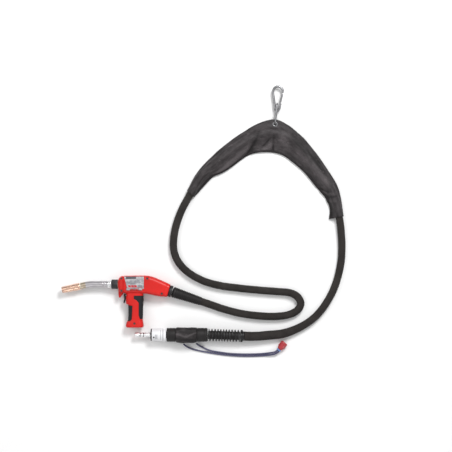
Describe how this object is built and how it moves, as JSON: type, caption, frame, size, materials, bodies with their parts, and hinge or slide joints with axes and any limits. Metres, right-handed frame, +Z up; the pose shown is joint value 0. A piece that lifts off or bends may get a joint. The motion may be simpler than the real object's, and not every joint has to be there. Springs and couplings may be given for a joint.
{
  "type": "mig welding torch",
  "caption": "Push-pull pistol-grip MIG welding torch with swivelling neck, sleeved cable in a leather hanging sling with snap hook, and a feeder plug with control lead.",
  "frame": {"origin": "on the flat side face that the gun lies on, straight below the barrel axis and in line with the middle of the drive-roll cover", "axes": "+X along the barrel from the nozzle towards the rear of the gun, +Y from the grip's foot towards the top of the gun, +Z up from the surface it lies on"},
  "size_m": [1.0203, 0.9765, 0.0583],
  "materials": {
    "red_plastic": "satin moulded nylon, fine grain",
    "red_plug": "bright moulded plastic",
    "soft_black": "matt soft overmould",
    "dark_plastic": "matt moulded plastic",
    "label_white": "printed white film",
    "copper": "bright turned copper",
    "brass": "turned brass",
    "steel": "bright nickel-plated steel",
    "black_spring": "black enamelled spring wire",
    "aluminium": "satin aluminium",
    "ceramic": "unglazed",
    "textile": "tight woven sleeve",
    "leather": "soft charcoal split leather",
    "lead_jacket": "smooth dark blue jacket",
    "blue_collar": "moulded clip"
  },
  "bodies": {
    "torch": {"lower_shell": "red_plastic", "upper_shell": "red_plastic", "plug_body": "red_plug", "front_grip_pad": "soft_black", "rear_grip_pad": "soft_black", "gun_strain_relief": "soft_black", "rear_gland": "soft_black", "connector_boot": "soft_black", "pin_seal_1": "soft_black", "pin_seal_2": "soft_black", "trigger_switch": "dark_plastic", "connector_block": "dark_plastic", "relief_sleeve": "dark_plastic", "connector_label": "label_white", "marker_ring": "label_white", "cable_core": "copper", "receiver_block": "brass", "outlet_wire_guide": "brass", "inlet_wire_guide": "brass", "plug_contacts": "brass", "shell_screw_1": "steel", "shell_screw_2": "steel", "shell_screw_3": "steel", "shell_screw_4": "steel", "shell_screw_5": "steel", "trigger_pin": "steel", "trigger_spring": "steel", "cover_hinge_pin": "steel", "drive_motor": "steel", "sling_eyelet": "steel", "feeder_pin": "steel", "spring_clamp": "steel", "relief_spring": "black_spring", "gearbox": "aluminium", "torch_cable": "textile", "sling": "leather", "boot_wrap": "leather", "control_lead_a": "lead_jacket", "control_lead_b": "lead_jacket", "lead_collar": "blue_collar"},
    "trigger": {"trigger": "dark_plastic"},
    "neck": {"neck_tube": "aluminium", "neck_ferrule": "steel", "neck_adapter": "brass", "nozzle_insulator": "ceramic", "gas_diffuser": "brass", "contact_tip": "copper", "nozzle": "copper"},
    "collar": {"barrel_collar": "dark_plastic"},
    "cover": {"drive_cover": "label_white", "cover_label": "label_white"},
    "latch": {"cover_latch": "dark_plastic"},
    "drive_roll": {"drive_roll": "steel"},
    "pressure_lever": {"pressure_lever": "dark_plastic"},
    "idler_arm": {"idler_arm": "aluminium"},
    "idler_roll": {"idler_roll": "steel"},
    "link": {"hook_link": "steel"},
    "hook": {"snap_hook": "steel", "gate_pin": "steel"},
    "gate": {"hook_gate": "steel"}
  },
  "joints": [
    {"name": "trigger_pull", "type": "hinge", "parent": "torch", "child": "trigger", "pos_m": [-0.03, -0.039, 0.027], "axis": [0, 0, 1], "range_deg": [0, 10], "stiffness_Nm_per_rad": 0.25, "springref_deg": -11.46},
    {"name": "neck_swivel", "type": "hinge", "parent": "torch", "child": "neck", "pos_m": [-0.06, 0, 0.027], "axis": [1, 0, 0], "range_deg": [-90, 90]},
    {"name": "collar_turn", "type": "hinge", "parent": "torch", "child": "collar", "pos_m": [-0.071, 0, 0.027], "axis": [1, 0, 0], "range_deg": [-180, 0]},
    {"name": "cover_open", "type": "hinge", "parent": "torch", "child": "cover", "pos_m": [0, -0.0188, 0.0563], "axis": [1, 0, 0], "range_deg": [0, 110]},
    {"name": "latch_slide", "type": "slide", "parent": "cover", "child": "latch", "axis": [1, 0, 0], "range_m": [0, 0.008]},
    {"name": "drive_roll_spin", "type": "hinge", "parent": "torch", "child": "drive_roll", "pos_m": [0.012, -0.0096, 0.027], "axis": [0, 0, 1], "continuous": true},
    {"name": "pressure_lever_open", "type": "hinge", "parent": "torch", "child": "pressure_lever", "pos_m": [0.032, 0.012, 0.027], "axis": [0, 0, 1], "range_deg": [0, 32]},
    {"name": "idler_arm_lift", "type": "hinge", "parent": "torch", "child": "idler_arm", "pos_m": [-0.008, 0.016, 0.027], "axis": [0, 0, 1], "range_deg": [0, 10]},
    {"name": "idler_roll_spin", "type": "hinge", "parent": "idler_arm", "child": "idler_roll", "pos_m": [0.012, 0.0096, 0.027], "axis": [0, 0, 1], "continuous": true},
    {"name": "link_swing", "type": "hinge", "parent": "torch", "child": "link", "pos_m": [0.504, 0.574, 0.0174], "axis": [0, 0, 1], "range_deg": [-25, 25]},
    {"name": "hook_swing", "type": "hinge", "parent": "link", "child": "hook", "pos_m": [0.5111, 0.6477, 0.0174], "axis": [0, 0, 1], "range_deg": [-25, 25]},
    {"name": "gate_open", "type": "hinge", "parent": "hook", "child": "gate", "pos_m": [0.522, 0.6455, 0.0174], "axis": [0, 0, 1], "range_deg": [0, 20], "stiffness_Nm_per_rad": 0.05, "springref_deg": -17.19}
  ],
  "couplings": [
    {"joint": "idler_arm_lift", "follows": "pressure_lever_open", "ratio": 0.3125},
    {"joint": "idler_roll_spin", "follows": "drive_roll_spin", "ratio": -1}
  ]
}
